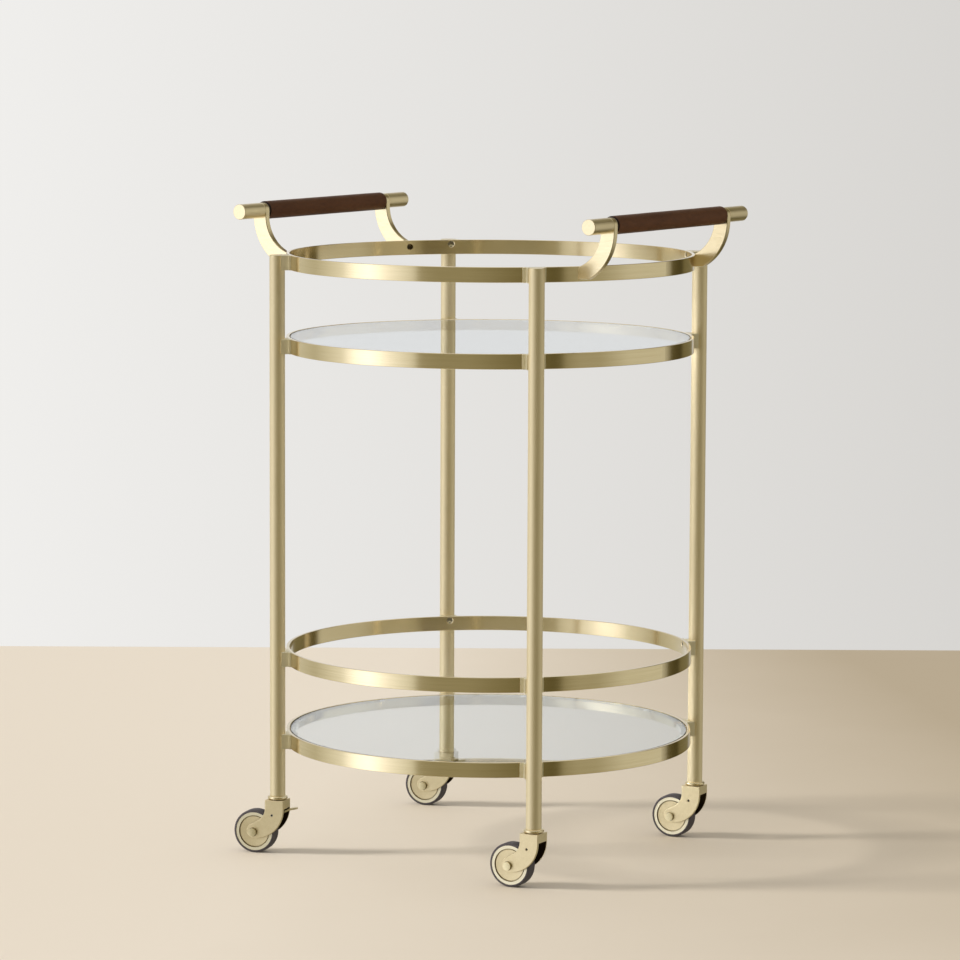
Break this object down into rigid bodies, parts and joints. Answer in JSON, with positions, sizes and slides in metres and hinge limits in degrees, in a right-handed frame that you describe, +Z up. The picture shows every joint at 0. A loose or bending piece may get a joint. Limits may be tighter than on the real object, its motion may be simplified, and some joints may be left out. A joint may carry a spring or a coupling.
{
  "type": "round bar cart",
  "caption": "Round two-tier serving cart with glass shelves in brass hoops, tube legs, leather push handles and swivel casters.",
  "frame": {"origin": "on the floor under the centre of the round shelves", "axes": "+Z up, +X towards the front push handle, +Y to the left, with both handle bars along Y"},
  "size_m": [0.5324, 0.508, 0.8096],
  "materials": {
    "brass": "brushed, clear lacquered",
    "glass": "clear, polished edge",
    "leather": "full-grain, stitched sleeve",
    "tyre": "smooth grey rubber",
    "steel": "plated",
    "bumper": "clear silicone"
  },
  "bodies": {
    "frame": {"upper_gallery_ring": "brass", "upper_gallery_blocks": "brass", "upper_shelf_ring": "brass", "upper_shelf_blocks": "brass", "lower_gallery_ring": "brass", "lower_gallery_blocks": "brass", "lower_shelf_ring": "brass", "lower_shelf_blocks": "brass", "upper_glass": "glass", "upper_glass_pads": "bumper", "lower_glass": "glass", "lower_glass_pads": "bumper", "leg_front_right": "brass", "leg_front_left": "brass", "leg_rear_left": "brass", "leg_rear_right": "brass", "leg_caps": "brass", "leg_anchors": "steel", "leg_inserts": "steel", "ring_screws": "brass", "bracket_screws": "brass", "handle_core_front": "steel", "grip_front": "leather", "finials_front": "brass", "handle_bracket_front_left": "brass", "handle_bracket_front_right": "brass", "handle_core_rear": "steel", "grip_rear": "leather", "finials_rear": "brass", "handle_bracket_rear_left": "brass", "handle_bracket_rear_right": "brass", "caster_stem_front_right": "brass", "thrust_washer_front_right": "steel", "caster_stem_front_left": "brass", "thrust_washer_front_left": "steel", "caster_stem_rear_left": "brass", "thrust_washer_rear_left": "steel", "caster_stem_rear_right": "brass", "thrust_washer_rear_right": "steel"},
    "swivel_front_right": {"fork_front_right": "brass", "axle_front_right": "brass"},
    "wheel_front_right": {"wheel_hub_front_right": "brass", "tyre_front_right": "tyre"},
    "swivel_front_left": {"fork_front_left": "brass", "axle_front_left": "brass"},
    "wheel_front_left": {"wheel_hub_front_left": "brass", "tyre_front_left": "tyre"},
    "swivel_rear_left": {"fork_rear_left": "brass", "axle_rear_left": "brass", "brake_pin_rear_left": "steel"},
    "wheel_rear_left": {"wheel_hub_rear_left": "brass", "tyre_rear_left": "tyre"},
    "lever_rear_left": {"brake_lever_rear_left": "brass"},
    "swivel_rear_right": {"fork_rear_right": "brass", "axle_rear_right": "brass", "brake_pin_rear_right": "steel"},
    "wheel_rear_right": {"wheel_hub_rear_right": "brass", "tyre_rear_right": "tyre"},
    "lever_rear_right": {"brake_lever_rear_right": "brass"}
  },
  "joints": [
    {"name": "swivel_front_right", "type": "hinge", "parent": "frame", "child": "swivel_front_right", "pos_m": [0.18979, -0.18979, 0.0682], "axis": [0, 0, 1], "continuous": true},
    {"name": "roll_front_right", "type": "hinge", "parent": "swivel_front_right", "child": "wheel_front_right", "pos_m": [0.16142, -0.19252, 0.027], "axis": [-0.0958, 0.9954, 0], "continuous": true},
    {"name": "swivel_front_left", "type": "hinge", "parent": "frame", "child": "swivel_front_left", "pos_m": [0.18979, 0.18979, 0.0682], "axis": [0, 0, 1], "continuous": true},
    {"name": "roll_front_left", "type": "hinge", "parent": "swivel_front_left", "child": "wheel_front_left", "pos_m": [0.16153, 0.18607, 0.027], "axis": [-0.1305, 0.9914, 0], "continuous": true},
    {"name": "swivel_rear_left", "type": "hinge", "parent": "frame", "child": "swivel_rear_left", "pos_m": [-0.18979, 0.18979, 0.0682], "axis": [0, 0, 1], "continuous": true},
    {"name": "roll_rear_left", "type": "hinge", "parent": "swivel_rear_left", "child": "wheel_rear_left", "pos_m": [-0.21766, 0.18386, 0.027], "axis": [-0.2079, 0.9781, 0], "continuous": true},
    {"name": "brake_rear_left", "type": "hinge", "parent": "swivel_rear_left", "child": "lever_rear_left", "pos_m": [-0.19301, 0.1891, 0.0494], "axis": [-0.2079, 0.9781, 0], "range_deg": [0, 25]},
    {"name": "swivel_rear_right", "type": "hinge", "parent": "frame", "child": "swivel_rear_right", "pos_m": [-0.18979, -0.18979, 0.0682], "axis": [0, 0, 1], "continuous": true},
    {"name": "roll_rear_right", "type": "hinge", "parent": "swivel_rear_right", "child": "wheel_rear_right", "pos_m": [-0.21732, -0.19716, 0.027], "axis": [-0.2588, 0.9659, 0], "continuous": true},
    {"name": "brake_rear_right", "type": "hinge", "parent": "swivel_rear_right", "child": "lever_rear_right", "pos_m": [-0.19298, -0.19064, 0.0494], "axis": [-0.2588, 0.9659, 0], "range_deg": [0, 25]}
  ]
}
